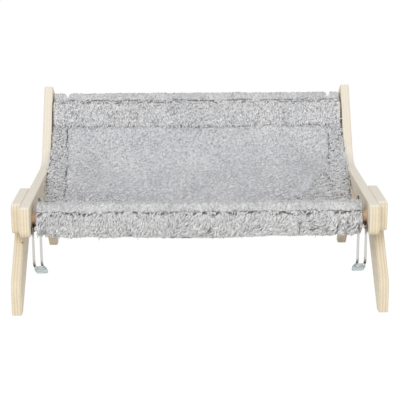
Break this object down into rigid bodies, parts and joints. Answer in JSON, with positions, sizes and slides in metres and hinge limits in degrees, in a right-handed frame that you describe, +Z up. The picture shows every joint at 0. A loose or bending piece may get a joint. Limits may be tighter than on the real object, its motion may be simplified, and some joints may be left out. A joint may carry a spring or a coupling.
{
  "type": "cat hammock",
  "caption": "Free-standing cat hammock: a plush sling hung from two dowels between plywood side frames, with swinging wire hooks under the front ends of the rails.",
  "frame": {"origin": "on the floor, in the middle of the frame's width and depth", "axes": "+Z up, +X to the object's right seen from the front, -Y to the front; the back posts lean towards +Y"},
  "size_m": [0.452, 0.326, 0.2273],
  "materials": {
    "plywood": "sanded, clear matt lacquer",
    "dowel_wood": "sanded, bare",
    "long_plush": "long brushed pile",
    "short_plush": "short smooth pile",
    "wire_steel": "zinc plated wire",
    "screw_steel": "zinc plated",
    "dark_steel": "black oxide",
    "clear_vinyl": "clear soft vinyl, slightly milky"
  },
  "bodies": {
    "frame": {"left_side_board": "plywood", "left_front_leg": "plywood", "left_hook_pin": "screw_steel", "left_sling_border": "long_plush", "right_side_board": "plywood", "right_front_leg": "plywood", "right_hook_pin": "screw_steel", "right_sling_border": "long_plush", "front_dowel": "dowel_wood", "rear_dowel": "dowel_wood", "front_dowel_screws": "screw_steel", "rear_dowel_screws": "screw_steel", "leg_bolts": "dark_steel", "leg_bolt_washers": "dark_steel", "leg_inserts": "screw_steel", "front_casing": "long_plush", "rear_casing": "long_plush", "sling_underside": "long_plush", "sling_seat_panel": "short_plush"},
    "left_hook_body": {"left_hook": "wire_steel", "left_hook_sleeve": "clear_vinyl"},
    "right_hook_body": {"right_hook": "wire_steel", "right_hook_sleeve": "clear_vinyl"}
  },
  "joints": [
    {"name": "left_hook_swing", "type": "hinge", "parent": "frame", "child": "left_hook_body", "pos_m": [-0.1955, -0.1345, 0.0998], "axis": [1, 0, 0], "range_deg": [-100, 45]},
    {"name": "right_hook_swing", "type": "hinge", "parent": "frame", "child": "right_hook_body", "pos_m": [0.1955, -0.1345, 0.0998], "axis": [1, 0, 0], "range_deg": [-100, 45]}
  ]
}
